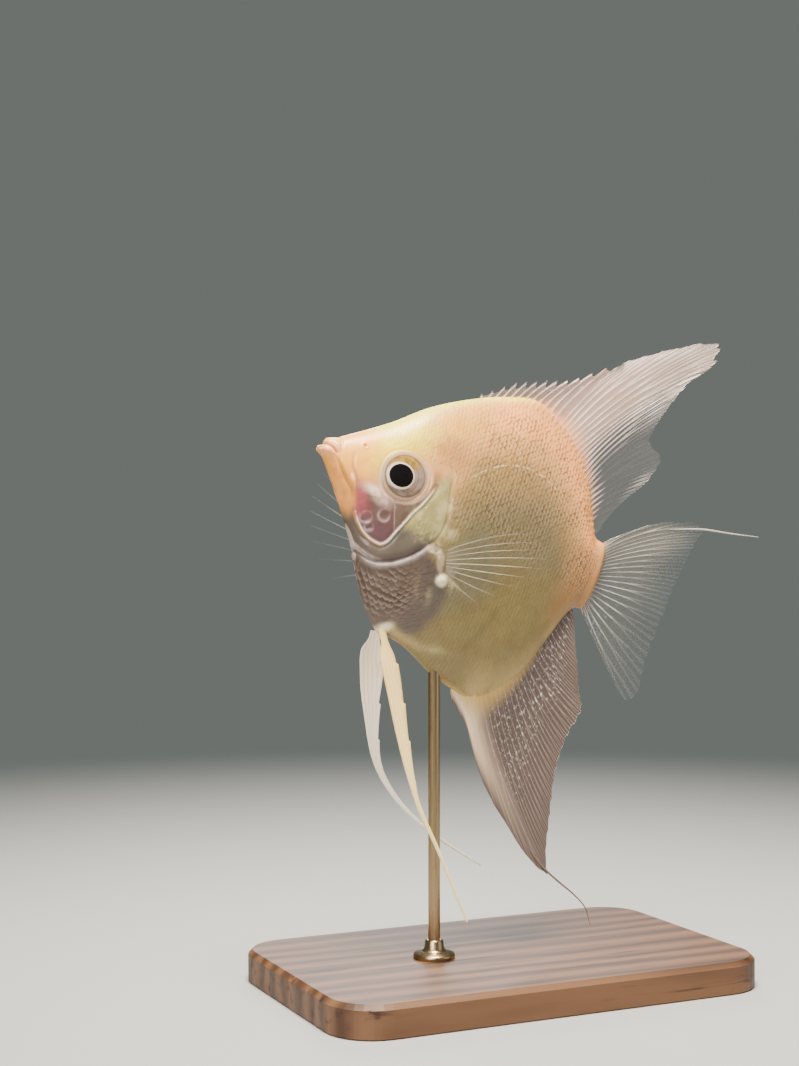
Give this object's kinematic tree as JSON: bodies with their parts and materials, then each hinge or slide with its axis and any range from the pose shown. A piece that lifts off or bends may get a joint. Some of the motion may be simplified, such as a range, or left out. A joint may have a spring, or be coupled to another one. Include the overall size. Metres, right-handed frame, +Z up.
{
  "type": "freshwater angelfish model",
  "caption": "Life-size still model of a pale gold freshwater angelfish with long trailing fins, held nose-up by a rod over a flat base.",
  "frame": {"origin": "middle of the stand's flat underside", "axes": "+Z up; the fish faces -X with its nose raised about 23 degrees; its left flank faces -Y"},
  "size_m": [0.1366, 0.072, 0.1644],
  "materials": {
    "pale_gold_skin": "wet-looking pale gold scales with a pearly sheen",
    "peach_skin": "smooth peach-pink lips and jaw",
    "rose_grey_skin": "pearly rose and grey gill cover",
    "clear_white_fin": "translucent whitish fin with white rays",
    "cream_pelvic_fin": "cream, nearly opaque fin",
    "silver_eye": "glossy silver eye with a black pupil",
    "walnut": "satin dark walnut",
    "brass_rod": "brushed brass"
  },
  "bodies": {
    "root": {"head": "pale_gold_skin", "lower_jaw": "peach_skin", "gill_cover_left": "rose_grey_skin", "gill_cover_right": "rose_grey_skin", "trunk": "pale_gold_skin", "tail_stalk": "pale_gold_skin", "dorsal_fin": "clear_white_fin", "anal_fin": "clear_white_fin", "caudal_fin": "clear_white_fin", "pectoral_fin_left": "clear_white_fin", "pectoral_fin_right": "clear_white_fin", "pelvic_fin_left": "cream_pelvic_fin", "pelvic_fin_right": "cream_pelvic_fin", "eye_left": "silver_eye", "eye_right": "silver_eye", "stand_base": "walnut", "stand_rod": "brass_rod"}
  },
  "joints": []
}
